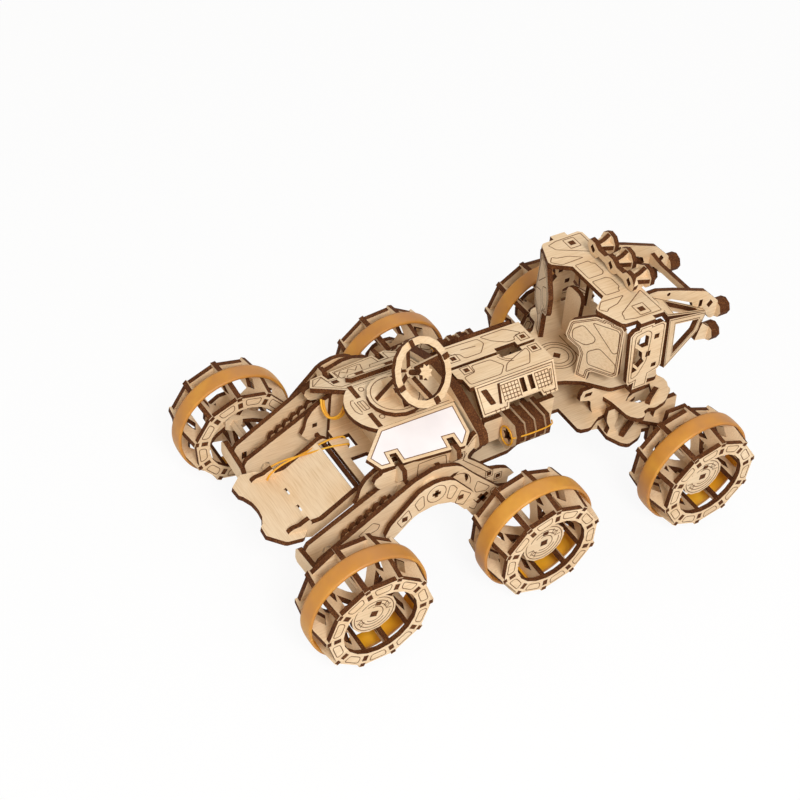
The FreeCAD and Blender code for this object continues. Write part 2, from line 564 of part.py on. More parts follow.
def nose():
    nodes = {}
    eye = Part.Wire([Part.makeCircle(EYE_R, Vector(115, 88, 0))])
    arm = along([(100, 93.5), (106, 93.5), (120, 89.1, 2), (144.3, 80.1, 2), (156, 69, 2),
                 (157.3, 57.5, 2), (152, 57, 2), (147, 64, 2), (136, 66, 2), (112, 78, 3),
                 (103, 78, 2), (100, 84)], -NOSE_ARM_Y - PLY,
                [eye, box_hole(142.1, 72, 2.6, 5),
                 outline([(149.7, 66), (152.2, 69), (149.7, 72), (147.2, 69)]),
                 outline([(112, 84.5), (118, 83.5), (135, 75), (137, 70.5),
                          (134, 70), (114, 80.5)])])
    post = across([(-NOSE_ARM_Y - PLY, 43.3), (-NOSE_ARM_Y, 43.3), (-NOSE_ARM_Y, 90.5),
                   (-NOSE_ARM_Y - PLY, 90.5)], 98)
    bar = across([(-NOSE_ARM_Y - 1, 69), (-NOSE_ARM_Y - 1, 76), (-12, 74, 4), (12, 74, 4),
                  (NOSE_ARM_Y + 1, 76), (NOSE_ARM_Y + 1, 69), (12, 70, 4), (-12, 70, 4)], 140.6)
    nodes["nose_frame"] = fuse([arm, mirrored(arm), post, mirrored(post), bar])
    front_top, front_low = Vector(146, -27.5, 66.5), Vector(141, -31, 57)
    inner_y = -NOSE_ARM_Y - PLY
    upper = facet([Vector(102, -40.4, 88.5), front_top, Vector(144.5, inner_y, 68.5),
                   Vector(103, inner_y, 90.5)], 0.62)
    lower = facet([Vector(102.6, -41.8, 87), Vector(107, -41.8, 49.5), front_low, front_top], 0.62)
    nodes["nose_panels"] = pair(fuse([upper, lower]))
    lamps = []
    for x, y, z, front in ((156, -23.3, 62.3, NOSE_TIP_X), (147, -29.5, 52.5, 153)):
        lamps.append(across(round_plate(y, z, 5.2), x, (), front - x))
    stem = along([(138, 50), (147, 48), (147, 57), (141, 62)], -31)
    nodes["nose_lamps"] = pair(Part.makeCompound([lamps[0], fuse([lamps[1], stem])]))
    return nodes


# --- tail ramp --------------------------------------------------------------------------

def ramp():
    """Tray let down at the tail: a bright floor, a rising lip and two hooked sides."""
    down = Vector(-math.cos(TRAY_SLOPE), 0, -math.sin(TRAY_SLOPE))
    length = (HINGE_X - 3 - FOLD_X) / math.cos(TRAY_SLOPE)
    floor = stand(sheet([(-RAMP_SIDE_Y, 0), (RAMP_SIDE_Y, 0), (RAMP_SIDE_Y, length),
                         (-RAMP_SIDE_Y, length)],
                        [box_hole(s * 7, length - 1.5, 5, 3) for s in (-1, 1)]),
                  Vector(FOLD_X, 0, FOLD_Z) - down * length, Vector(0, 1, 0), down)
    lip_dir = Vector(-1, 0, LIP_RISE)
    lip = stand(sheet([(-19, 0), (19, 0), (28, 8, 2), (28, 19, 2), (20, 27.5), (13, 27),
                       (9, 23, 9), (0, 21.8, 10), (-9, 23, 9), (-13, 27), (-20, 27.5),
                       (-28, 19, 2), (-28, 8, 2)]),
                Vector(FOLD_X, 0, FOLD_Z), Vector(0, 1, 0), lip_dir)
    side = along([(-126, 3.8), (-122, 8.5, 3), (-115, 9, 2), (-113.5, 12, 3), (-108.5, 11, 2),
                  (-110, 7.5), (-103, 7.5, 2), (-82, 21, 2), (-77, 21.5, 3), (-75.5, 15.5, 3),
                  (-80, 13.5, 2), (-109, -2.8)], -RAMP_SIDE_Y - PLY,
                 [circle(HINGE_X, HINGE_Z, HINGE_R + RUNNING_GAP)])
    return {"ramp_floor": floor, "ramp_lip": lip, "ramp_sides": pair(side)}


# --- antenna ----------------------------------------------------------------------------

def antenna():
    """Turntable on the deck with crossed fins, which hold a leaning dish: a ring on two ribs."""
    disc_z = DECK_Z + 0.5
    table = level(round_plate(MAST_X, 0, TURNTABLE_R, RING_SIDES), disc_z)
    pivot = axle_bar(Vector(MAST_X, 0, disc_z - 6.5), Vector(MAST_X, 0, disc_z), PIVOT_R)
    top = disc_z + PLY
    fin_x = along([(MAST_X - 12, top), (MAST_X + 13, top), (MAST_X + 13, top + 12, 2),
                   (MAST_X + 4, top + 15, 3), (MAST_X - 4, top + 8, 3)], -PLY / 2)
    fin_y = across([(-12, top), (12, top), (4, top + 10, 3), (-4, top + 10, 3)],
                   MAST_X - PLY / 2)
    normal = Vector(DISH_NORMAL).normalize()
    sideways = Vector(1, 0, 0) - normal * normal.x
    sideways.normalize()
    centre = DISH_CENTRE

    def dish_sheet(points, offset, holes=()):
        return stand(sheet(points, holes), centre + normal * offset, sideways,
                     normal.cross(sideways))

    ring = dish_sheet(round_plate(0, 0, DISH_R, RING_SIDES), 0,
                      [circle(0, 0, DISH_BORE_R, RING_SIDES)])
    tab_r, tab_front = DISH_R - 3.6, 4.2
    rib = both_sides([(-4, -12), (3.5 - DISH_R, -3.5), (-DISH_R, -1.5), (-DISH_R, tab_front),
                       (-tab_r, tab_front), (-tab_r, -0.5), (-3, -8)])
    ribs = []
    for degrees in (13, 103):
        turn = math.radians(degrees)
        across_dir = sideways * math.cos(turn) + normal.cross(sideways) * math.sin(turn)
        rib_origin = centre - across_dir.cross(normal) * (PLY / 2)
        ribs.append(stand(sheet(rib), rib_origin, across_dir, normal))
    star = []
    for i in range(16):
        r, t = (4.6, 3.0)[i % 2], math.radians(22.5 * i)
        star.append((r * math.cos(t), r * math.sin(t)))
    feed = dish_sheet(star, 2)
    stub = stand(sheet(round_plate(0, 0, 1.5), (), 12), centre + normal * -9, sideways,
                 normal.cross(sideways))
    neck = stand(sheet(round_plate(0, 0, 3), (), 6), centre + normal * -15, sideways,
                 normal.cross(sideways))
    return {"antenna_turntable": fuse([table, pivot, fin_x, fin_y]),
            "antenna_dish": fuse([ring, feed, stub, neck] + ribs)}


# --- whole rover ------------------------------------------------------------------------

def seat(nodes):
    """Cuts in each piece the slots where the pieces named beside it pass through."""
    slotted = (("hull_side_right", ("sloped_panel_right",)),
               ("hull_side_left", ("sloped_panel_left",)),
               ("cargo_walls", ("sloped_panel_right", "sloped_panel_left")),
               ("nose_frame", ("nose_lamps",)),
               ("arch_ribs", ("hull_side_right", "hull_side_left")),
               ("bogie_spacers", ("hull_side_right", "hull_side_left")),
               ("rear_deck", ("sloped_panel_right", "sloped_panel_left")),
               ("keypad_panel_right", ("roof_panel_right",)),
               ("keypad_panel_left", ("roof_panel_left",)),
               ("hull_frames", ("keypad_panel_right", "keypad_panel_left")),
               ("front_subframe", ("front_spines",)),
               ("front_spines", ("front_upper_arms", "front_lower_arms")),
               ("front_knuckle_right", ("front_lower_arms",)),
               ("front_knuckle_left", ("front_lower_arms",)),
               ("nose_panels", ("nose_lamps", "nose_frame")),
               ("ramp_lip", ("ramp_floor", "ramp_sides")),
               ("cargo_bulkhead", ("sloped_panel_right", "sloped_panel_left")),
               ("antenna_turntable", ("antenna_dish",)))
    for name, passing in slotted:
        for other in passing:
            nodes[name] = nodes[name].cut(nodes[other])


def build():
    nodes = wheels()
    nodes.update(hull())
    right = tank()
    nodes["tank_right"], nodes["tank_left"] = right, mirrored(right)
    nodes.update(bogies())
    nodes.update(front_end())
    nodes.update(cab())
    nodes["roof_lamps"] = roof_lamps()
    nodes.update(nose())
    nodes.update(ramp())
    nodes.update(antenna())
    seat(nodes)
    return nodes


def export(nodes):
    os.makedirs("parts", exist_ok=True)
    for name, shape in nodes.items():
        moved = shape.copy()
        moved.translate(SHIFT)
        moved.exportStep(f"parts/{name}.step")


export(build())
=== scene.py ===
import math

import bmesh
import bpy
from mathutils import Matrix, Vector


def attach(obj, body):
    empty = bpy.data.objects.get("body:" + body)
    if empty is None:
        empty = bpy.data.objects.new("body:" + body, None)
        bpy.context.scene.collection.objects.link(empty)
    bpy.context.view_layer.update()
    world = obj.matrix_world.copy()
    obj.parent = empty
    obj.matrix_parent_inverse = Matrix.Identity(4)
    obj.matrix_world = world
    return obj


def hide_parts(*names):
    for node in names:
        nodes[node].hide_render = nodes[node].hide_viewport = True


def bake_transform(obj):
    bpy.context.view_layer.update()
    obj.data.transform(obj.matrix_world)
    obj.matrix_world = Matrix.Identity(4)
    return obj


# A plywood model of a six-wheeled rover.  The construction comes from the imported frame.  This
# script adds the finish: pale birch faces, laser-darkened edges, engraved lines, rubber bands,
# a blank sticker, the camera, the light and the floor.

MM = 0.001
# The drawings below are laid out about the middle axle, as the pieces are: X forward from it,
# Y left, Z up from the level of the axles, in millimetres.
ORIGIN = Vector((-10.0, 0.0, 35.6))
PLY = 3.0             # thickness of a sheet
LINE = 0.5            # width of an engraved line
LIFT = 0.04           # how far an engraved line stands off its face
BURNT_LIFT = 0.06     # the same of a burnt field, which lies over the lines
STICKER_LIFT = 0.024  # the same of the sticker, which lies under them

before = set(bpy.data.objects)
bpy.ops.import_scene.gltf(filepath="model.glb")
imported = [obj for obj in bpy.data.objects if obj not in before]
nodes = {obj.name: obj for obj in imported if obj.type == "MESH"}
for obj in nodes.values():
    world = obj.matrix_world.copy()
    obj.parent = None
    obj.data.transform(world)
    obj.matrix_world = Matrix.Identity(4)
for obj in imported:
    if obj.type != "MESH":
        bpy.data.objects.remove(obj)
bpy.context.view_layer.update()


def place(x, y, z):
    """A layout point, in millimetres, as a point of the frame, in metres."""
    return (Vector((x, y, z)) + ORIGIN) * MM


# --- materials --------------------------------------------------------------------------

def srgb(red, green, blue):
    """Linear colour, with alpha, from 0-255 display values."""
    def linear(v):
        v /= 255.0
        return v / 12.92 if v <= 0.04045 else ((v + 0.055) / 1.055) ** 2.4
    return (linear(red), linear(green), linear(blue), 1.0)


def new_material(name):
    material = bpy.data.materials.new(name)
    material.use_nodes = True
    tree = material.node_tree
    return material, tree, tree.nodes["Principled BSDF"]


def noise(tree, stretch, scale, detail):
    """Noise over the object's own coordinates, drawn out by the stretch along each axis."""
    where = tree.nodes.new("ShaderNodeTexCoord")
    mapping = tree.nodes.new("ShaderNodeMapping")
    mapping.inputs["Scale"].default_value = stretch
    texture = tree.nodes.new("ShaderNodeTexNoise")
    texture.inputs["Scale"].default_value = scale
    texture.inputs["Detail"].default_value = detail
    tree.links.new(where.outputs["Object"], mapping.inputs["Vector"])
    tree.links.new(mapping.outputs["Vector"], texture.inputs["Vector"])
    return texture.outputs["Fac"]


def ramp_of(tree, factor, stops):
    ramp = tree.nodes.new("ShaderNodeValToRGB")
    elements = ramp.color_ramp.elements
    while len(elements) < len(stops):
        elements.new(0.5)
    for element, (position, colour) in zip(elements, stops):
        element.position, element.color = position, colour
    tree.links.new(factor, ramp.inputs["Fac"])
    return ramp.outputs["Color"]


def multiplied(tree, first, second):
    """The product of two colours.  Inputs 6 and 7 and output 2 are the colour sockets."""
    mix = tree.nodes.new("ShaderNodeMix")
    mix.data_type = "RGBA"
    mix.blend_type = "MULTIPLY"
    mix.inputs[0].default_value = 1.0
    tree.links.new(first, mix.inputs[6])
    tree.links.new(second, mix.inputs[7])
    return mix.outputs[2]


def bumped(tree, shader, height, strength, distance):
    bump = tree.nodes.new("ShaderNodeBump")
    bump.inputs["Strength"].default_value = strength
    bump.inputs["Distance"].default_value = distance
    tree.links.new(height, bump.inputs["Height"])
    tree.links.new(bump.outputs["Normal"], shader.inputs["Normal"])


ALONG_GRAIN = 14.0       # how finely the grain varies along itself
ACROSS_GRAIN = 260.0


def birch(name, grain_axis):
    """Pale birch veneer with its fine grain along one axis, and slow shifts of tone."""
    material, tree, shader = new_material(name)
    stretch = [ACROSS_GRAIN] * 3
    stretch[grain_axis] = ALONG_GRAIN
    grain = noise(tree, stretch, 6.0, 5.0)
    tone = noise(tree, (14.0, 14.0, 14.0), 2.2, 2.0)
    pale = ramp_of(tree, grain, [(0.30, srgb(217, 189, 152)), (0.52, srgb(230, 205, 171)),
                                 (0.75, srgb(237, 215, 184))])
    warm = ramp_of(tree, tone, [(0.35, srgb(255, 255, 255)), (0.70, srgb(247, 238, 226))])
    tree.links.new(multiplied(tree, pale, warm), shader.inputs["Base Color"])
    shader.inputs["Roughness"].default_value = 0.62
    shader.inputs["Specular IOR Level"].default_value = 0.3
    bumped(tree, shader, grain, 0.25, 0.00005)
    return material


def laser_edge():
    """Edge of a cut sheet: browned unevenly by the laser, with fine lighter streaks."""
    material, tree, shader = new_material("laser_edge")
    streak = noise(tree, (300.0, 300.0, 300.0), 5.0, 4.0)
    patch = noise(tree, (30.0, 30.0, 30.0), 3.0, 2.0)
    base = ramp_of(tree, streak, [(0.32, srgb(70, 38, 18)), (0.55, srgb(98, 58, 30)),
                                  (0.74, srgb(150, 98, 54))])
    shade = ramp_of(tree, patch, [(0.35, srgb(212, 198, 186)), (0.7, srgb(255, 255, 255))])
    tree.links.new(multiplied(tree, base, shade), shader.inputs["Base Color"])
    shader.inputs["Roughness"].default_value = 0.8
    shader.inputs["Specular IOR Level"].default_value = 0.15
    bumped(tree, shader, streak, 0.4, 0.0001)
    return material


def engraving_brown():
    """Laser-engraved line, browned unevenly."""
    material, tree, shader = new_material("engraved_line")
    burn = noise(tree, (120.0, 120.0, 120.0), 4.0, 3.0)
    colour = ramp_of(tree, burn, [(0.3, srgb(88, 54, 32)), (0.7, srgb(124, 82, 50))])
    tree.links.new(colour, shader.inputs["Base Color"])
    shader.inputs["Roughness"].default_value = 0.8
    shader.inputs["Specular IOR Level"].default_value = 0.15
    return material


def sticker_paper():
    """Blank white paper sticker, very slightly mottled."""
    material, tree, shader = new_material("sticker_paper")
    mottle = noise(tree, (25.0, 25.0, 25.0), 3.0, 2.0)
    colour = ramp_of(tree, mottle, [(0.3, srgb(236, 229, 230)), (0.7, srgb(241, 236, 237))])
    tree.links.new(colour, shader.inputs["Base Color"])
    shader.inputs["Roughness"].default_value = 0.4
    return material


def amber(name, low, middle, high):
    """Amber rubber band: matte, with a dusty bloom and fine lines round it."""
    material, tree, shader = new_material(name)
    bloom = noise(tree, (16.0, 16.0, 16.0), 3.0, 3.0)
    colour = ramp_of(tree, bloom, [(0.34, low), (0.52, middle), (0.68, high)])
    tree.links.new(colour, shader.inputs["Base Color"])
    shader.inputs["Roughness"].default_value = 0.5
    shader.inputs["Subsurface Weight"].default_value = 0.15
    shader.inputs["Subsurface Radius"].default_value = (0.0030, 0.0016, 0.0005)
    shader.inputs["Subsurface Scale"].default_value = 1.0
    bumped(tree, shader, noise(tree, (20.0, 600.0, 20.0), 5.0, 3.0), 0.2, 0.0001)
    return material


BIRCH = [birch("birch_grain_x", 0), birch("birch_grain_y", 1)]
EDGE = laser_edge()
ENGRAVED = engraving_brown()
PAPER = sticker_paper()
RUBBER = amber("amber_rubber", srgb(184, 124, 56), srgb(197, 134, 50), srgb(210, 150, 56))
BRIGHT = amber("bright_rubber", srgb(216, 148, 16), srgb(228, 162, 24), srgb(236, 176, 48))


# --- faces and edges of the ply -----------------------------------------------------------

FLAT = 0.9998              # cosine above which two facets count as one plane
SAME_WAY = 0.97            # cosine above which a patch faces the way that is asked for
WELD = 1e-6                # metres within which two points are one
EDGE_LIMIT = 3.4 * MM      # a patch narrower than this is a cut edge of 3 mm ply
# The next three are in millimetres.
SHORT_SIDE = 1e-3          # a point of a border that is nearer to the last one is dropped
STRAIGHT = 2e-3            # so is one after which the border strays by less than this
LEAST_INSET_SIDE = 0.02    # a side of an inset line that is shorter is left out
PARALLEL = 1e-3            # sine of an angle under which two sides count as parallel


def hull_of(flat):
    """Convex hull of 2-D points, anticlockwise."""
    def half(points):
        kept = []
        for p in points:
            while len(kept) > 1 and turn_at(kept[-2], kept[-1], p) <= 0:
                kept.pop()
            kept.append(p)
        return kept[:-1]
    flat = sorted(set(flat))
    return half(flat) + half(flat[::-1])


def turn_at(a, b, c):
    return (b[0] - a[0]) * (c[1] - a[1]) - (b[1] - a[1]) * (c[0] - a[0])


def least_width(points, normal):
    """Smallest extent of a flat patch, which lies square to one side of its hull."""
    u = normal.orthogonal().normalized()
    v = normal.cross(u)
    hull = hull_of([(p.dot(u), p.dot(v)) for p in points])
    best = math.inf
    for i, (x, y) in enumerate(hull):
        run_x, run_y = x - hull[i - 1][0], y - hull[i - 1][1]
        length = math.hypot(run_x, run_y)
        if length > WELD:
            best = min(best, max(abs(run_x * (q[1] - y) - run_y * (q[0] - x))
                                 for q in hull) / length)
    return best


class Patch:
    """Joined facets that lie in one plane."""

    def __init__(self, facets, normal):
        self.normal = normal
        self.centres = [facet.calc_center_median() for facet in facets]
        self.area = sum(facet.calc_area() for facet in facets)
        self.points = {}
        steps = {}      # a dictionary, so that the steps keep their order
        for facet in facets:
            for corner in facet.loops:
                start, end = corner.vert, corner.link_loop_next.vert
                self.points[start.index] = start.co.copy()
                steps[(start.index, end.index)] = True
        self.border = [step for step in steps if step[::-1] not in steps]

    def loops(self):
        """Closed borders in layout millimetres, with the patch on their left."""
        onward = {}
        for start, end in self.border:
            onward.setdefault(start, []).append(end)
        found = []
        while onward:
            start = next(iter(onward))
            here, loop = start, []
            while here in onward:
                loop.append(self.points[here] / MM - ORIGIN)
                ends = onward[here]
                following = ends.pop()
                if not ends:
                    del onward[here]
                here = following
            found.append(straightened(loop))
        return sorted(found, key=lambda loop: -ring_length(loop))


def ring_length(loop):
    return sum((p - loop[i - 1]).length for i, p in enumerate(loop))


def straightened(loop):
    """The loop without the points that lie on a straight run."""
    kept = []
    for i, p in enumerate(loop):
        before, after = p - loop[i - 1], loop[(i + 1) % len(loop)] - p
        turning = before.cross(after).length
        if before.length > SHORT_SIDE and turning > STRAIGHT * before.length:
            kept.append(p)
    return kept


def flat_patches(mesh):
    """Every flat patch of a mesh."""
    cells = bmesh.new()
    cells.from_mesh(mesh)
    bmesh.ops.remove_doubles(cells, verts=cells.verts, dist=WELD)
    cells.verts.index_update()
    cells.faces.index_update()
    cells.normal_update()
    seen, patches = set(), []
    for first in cells.faces:
        if first.index in seen:
            continue
        seen.add(first.index)
        queue, facets = [first], []
        while queue:
            face = queue.pop()
            facets.append(face)
            for edge in face.edges:
                for other in edge.link_faces:
                    if other.index not in seen and other.normal.dot(first.normal) > FLAT:
                        seen.add(other.index)
                        queue.append(other)
        patches.append(Patch(facets, first.normal.copy()))
    cells.free()
    return patches


def spot_key(point):
    return tuple(round(c / WELD) for c in point)


def dress_ply(name, face, limit):
    """Pale face material on the sheet's faces, brown on every strip that is narrower than this."""
    mesh = nodes[name].data
    mesh.materials.clear()
    mesh.materials.append(face)
    mesh.materials.append(EDGE)
    brown = set()
    for patch in PATCHES[name]:
        if least_width(patch.points.values(), patch.normal) < limit:
            brown.update(spot_key(centre) for centre in patch.centres)
    for polygon in mesh.polygons:
        polygon.material_index = 1 if spot_key(polygon.center) in brown else 0
        polygon.use_smooth = False


# Pieces whose grain runs across the rover begin with one of these names.
GRAIN_Y = ("ramp_", "cargo_bulkhead", "cab_rear_panel", "roof_lamps")
EDGE_LIMITS = {"arch_ribs": 6.4 * MM, "nose_lamps": 7.6 * MM}      # thicker than one sheet
PATCHES = {}
for node_name, node in nodes.items():
    if not node_name.startswith("tyre_"):
        PATCHES[node_name] = flat_patches(node.data)
        axis = 1 if node_name.startswith(GRAIN_Y) else 0
        dress_ply(node_name, BIRCH[axis], EDGE_LIMITS.get(node_name, EDGE_LIMIT))


# --- engraving ------------------------------------------------------------------------------

PAINTS = (ENGRAVED, EDGE, PAPER)
LINE_PAINT, BURNT, WHITE = range(3)
MITRE_LIMIT = 0.5      # a line's sharp corner is drawn out to one width at most
RING_SIDES = 36


class Face:
    """A flat face to draw on: a point of it, two directions across it and its outward one."""

    def __init__(self, origin, u, v, out):
        self.origin, self.u, self.v, self.out = (Vector(a) for a in (origin, u, v, out))

    def at(self, a, b):
        return self.origin + self.u * a + self.v * b

    def mirrored(self):
        """The same face on the rover's other side."""
        return Face(*(Vector((p.x, -p.y, p.z)) for p in (self.origin, self.u, self.v, self.out)))


class Marks:
    """Flat marks on one body: engraved lines, burnt tenon ends and bare paper, as one mesh."""

    def __init__(self, name, body):
        self.name, self.body = name, body
        self.points, self.faces, self.paints = [], [], []

    def fill(self, corners, out, paint, lift):
        """A patch with these corners, in layout millimetres, that faces out."""
        turning = sum(((corners[i - 1] - corners[0]).cross(p - corners[0]) for i, p
                       in enumerate(corners)), Vector())
        ordered = corners if turning.dot(out) > 0 else corners[::-1]
        start = len(self.points)
        self.points += [place(*(c + out * lift)) for c in ordered]
        self.faces.append(range(start, start + len(ordered)))
        self.paints.append(paint)

    def trace(self, corners, out, closed=True, width=LINE):
        """A line along the corners, mitred where it turns."""
        count = len(corners)
        rails = []
        for i, here in enumerate(corners):
            into = (here - corners[i - 1]).normalized()
            away = (corners[(i + 1) % count] - here).normalized()
            if not closed and i == 0:
                into = away
            if not closed and i == count - 1:
                away = into
            side = (out.cross(into) + out.cross(away)).normalized()
            reach = side * (width / 2 / max(MITRE_LIMIT, side.dot(out.cross(into))))
            rails.append((here + reach, here - reach))
        for i in range(0 if closed else 1, count):
            (a, b), (c, d) = rails[i - 1], rails[i]
            self.fill([a, b, d, c], out, LINE_PAINT, LIFT)

    def path(self, face, points, closed=True, width=LINE):
        self.trace([face.at(*p) for p in points], face.out, closed, width)

    def cell(self, face, points, radius):
        """A closed cell with rounded corners."""
        self.path(face, rounded(points, radius))

    def box(self, face, a, b, wide, high, turn=0.0):
        """A burnt rectangle about (a, b), turned by an angle in radians."""
        c, s = math.cos(turn), math.sin(turn)
        corners = [(a + c * x - s * y, b + s * x + c * y) for x, y in rectangle(wide, high)]
        self.fill([face.at(*p) for p in corners], face.out, BURNT, BURNT_LIFT)

    def ring(self, face, a, b, radius, start=0.0, sweep=360.0):
        """A ring about (a, b), or an arc of it from its start, in degrees."""
        full = sweep >= 360.0
        count = max(4, round(RING_SIDES * sweep / 360.0))
        points = []
        for i in range(count if full else count + 1):
            angle = math.radians(start + sweep * i / count)
            points.append((a + radius * math.cos(angle), b + radius * math.sin(angle)))
        self.path(face, points, full)

    def border(self, name, facing, distances=(), rank=0, holes=()):
        """Lines at these distances inside the rim, and round the holes, of a node's flat face.
        Rank 0 is the largest of the faces that look that way."""
        patch = patch_of(name, facing, rank)
        for i, loop in enumerate(patch.loops()):
            for distance in (distances if i == 0 else holes):
                self.trace(inset(loop, patch.normal, distance), patch.normal)

    def finish(self):
        mesh = bpy.data.meshes.new(self.name)
        mesh.from_pydata(self.points, [], self.faces)
        for paint in PAINTS:
            mesh.materials.append(paint)
        for polygon, paint in zip(mesh.polygons, self.paints):
            polygon.material_index = paint
        piece = bpy.data.objects.new(self.name, mesh)
        bpy.context.scene.collection.objects.link(piece)
        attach(piece, self.body)


def patch_of(name, facing, rank=0):
    facing = Vector(facing).normalized()
    turned = [p for p in PATCHES[name] if p.normal.dot(facing) > SAME_WAY]
    return sorted(turned, key=lambda p: -p.area)[rank]


def rectangle(wide, high):
    return [(-wide / 2, -high / 2), (wide / 2, -high / 2), (wide / 2, high / 2),
            (-wide / 2, high / 2)]


CORNER_SHARE = 2.2     # a rounded corner takes at most a side's length over this
CORNER_STEPS = 3


def rounded(points, radius):
    """The corners of a closed outline, each cut by a short curve."""
    curve = []
    for i, p in enumerate(points):
        here, before, after = (Vector(q) for q in (p, points[i - 1], points[(i + 1) % len(points)]))
        reach = min(radius, (before - here).length / CORNER_SHARE,
                    (after - here).length / CORNER_SHARE)
        start = here + (before - here).normalized() * reach
        end = here + (after - here).normalized() * reach
        for k in range(CORNER_STEPS + 1):
            t = k / CORNER_STEPS
            curve.append(start * (1 - t) ** 2 + here * 2 * t * (1 - t) + end * t ** 2)
    return [tuple(q) for q in curve]


def inset(loop, out, distance):
    """The loop moved to its left.  Sides that would turn over are left out."""
    sides = []
    for i, p in enumerate(loop):
        along = (loop[(i + 1) % len(loop)] - p).normalized()
        sides.append((p + out.cross(along) * distance, along))
    while True:
        corners = [meeting(sides[i - 1], side, out) for i, side in enumerate(sides)]
        spans = [(corners[(i + 1) % len(sides)] - corners[i]).dot(side[1])
                 for i, side in enumerate(sides)]
        if min(spans) > LEAST_INSET_SIDE or len(sides) < 4:
            return corners
        sides.pop(spans.index(min(spans)))


def meeting(first, second, out):
    """Where two lines in one plane meet, each given by a point and a direction."""
    across = first[1].cross(second[1]).dot(out)
    if abs(across) < PARALLEL:
        return (first[0] + second[0]) / 2 if first[1].dot(second[1]) < 0 else second[0]
    reach = (second[0] - first[0]).cross(second[1]).dot(out) / across
    return first[0] + first[1] * reach


def flat_at(z):
    """Level face at this height, drawn in X and Y."""
    return Face((0, 0, z), (1, 0, 0), (0, 1, 0), (0, 0, 1))


def right_side(y):
    """Upright face on the rover's right, drawn in X and Z."""
    return Face((0, -y, 0), (1, 0, 0), (0, 0, 1), (0, -1, 0))


def sloping(y, z, degrees, lift=0.0):
    """Face on the right that falls outwards, drawn in X and down the slope."""
    c, s = math.cos(math.radians(degrees)), math.sin(math.radians(degrees))
    return Face((0, -y - lift * s, z + lift * c), (1, 0, 0), (0, -c, -s), (0, -s, c))


def flipped(points):
    return [(a, -b) for a, b in points]


CAB_TURN = math.atan2(16.8, 8.3)     # from the fore-and-aft line to a slanted rear panel
CAB_REAR = Face((72.5, -39.7, 0), (-math.cos(CAB_TURN), math.sin(CAB_TURN), 0), (0, 0, 1),
                (-math.sin(CAB_TURN), -math.cos(CAB_TURN), 0))
CAB_SIDE, CAB_ROOF, CAB_FLOOR = right_side(43.5), flat_at(93.5), flat_at(43.3)
REAR_CELLS = (
    [(30.0, 74.3), (24.2, 80.2), (15.6, 74.6), (16.0, 71.5), (21.0, 67.0), (29.3, 67.8)],
    [(19.3, 84.4), (3.6, 86.2), (2.3, 84.6), (1.3, 71.4), (3.8, 69.4)],
    [(19.2, 63.2), (12.3, 69.2), (1.0, 62.8), (0.5, 56.4), (17.6, 54.8)])
CAB_ROOF_CELLS = (
    [(77.2, 1.6), (77.2, 14.8), (86.6, 15.0), (86.8, 12.8), (88.8, 11.6), (88.8, 3.6), (86.8, 1.6)],
    [(70.8, 18.4), (86.0, 19.0), (78.6, 23.6), (71.7, 24.8), (69.2, 26.8), (66.0, 23.2)],
    [(97.4, 19.4), (97.8, 38.6), (80.0, 38.2), (73.6, 36.4), (75.0, 34.2), (75.4, 31.7)])
CAB_SIDE_CELL = [(78.2, 85.0), (86.6, 86.4), (89.7, 83.6), (89.9, 63.3), (85.2, 53.4),
                 (81.3, 52.2)]
CAB_ROOF_TENON_X, CAB_ROOF_TENON_Y = 88.0, 33.0
CAB_RINGS_X = 62.6                          # middle of the rings on the cab's floor
NOSE_PANEL_AREA = 90 * MM * MM              # a nose panel's face is larger than this
NOSE_OUTWARD = Vector((0.3, 0.0, 1.0))


def mark_cab(marks):
    for side, rear, flank in (("right", CAB_REAR, CAB_SIDE),
                              ("left", CAB_REAR.mirrored(), CAB_SIDE.mirrored())):
        for cell in REAR_CELLS:
            marks.cell(rear, cell, 2.0)
        marks.border("cab_rear_panel_" + side, rear.out, (1.1, 2.0))
        marks.border("cab_side_" + side, flank.out, (1.2,))
        marks.cell(flank, CAB_SIDE_CELL, 2.5)
    for cell in CAB_ROOF_CELLS:
        marks.cell(CAB_ROOF, cell, 1.0)
        marks.cell(CAB_ROOF, flipped(cell), 1.0)
    for y in (-CAB_ROOF_TENON_Y, CAB_ROOF_TENON_Y):
        marks.box(CAB_ROOF, CAB_ROOF_TENON_X, y, 4.0, 3.6)
        marks.cell(CAB_ROOF, [(CAB_ROOF_TENON_X + a, y + b) for a, b in rectangle(7.4, 8.4)], 0.6)
    for radius in (7.0, 9.6, 11.4):
        marks.ring(CAB_FLOOR, CAB_RINGS_X, 0.0, radius)
    marks.box(CAB_FLOOR, CAB_RINGS_X, 0.0, 4.0, 4.0, math.pi / 4)
    for x in (74.0, 77.5, 98.0):
        marks.path(CAB_FLOOR, [(x, -14.0), (x, 14.0)], False)
    for patch in PATCHES["nose_panels"]:
        if patch.area > NOSE_PANEL_AREA and patch.normal.dot(NOSE_OUTWARD) > 0:
            for loop in patch.loops():
                marks.trace(inset(loop, patch.normal, 0.9), patch.normal)


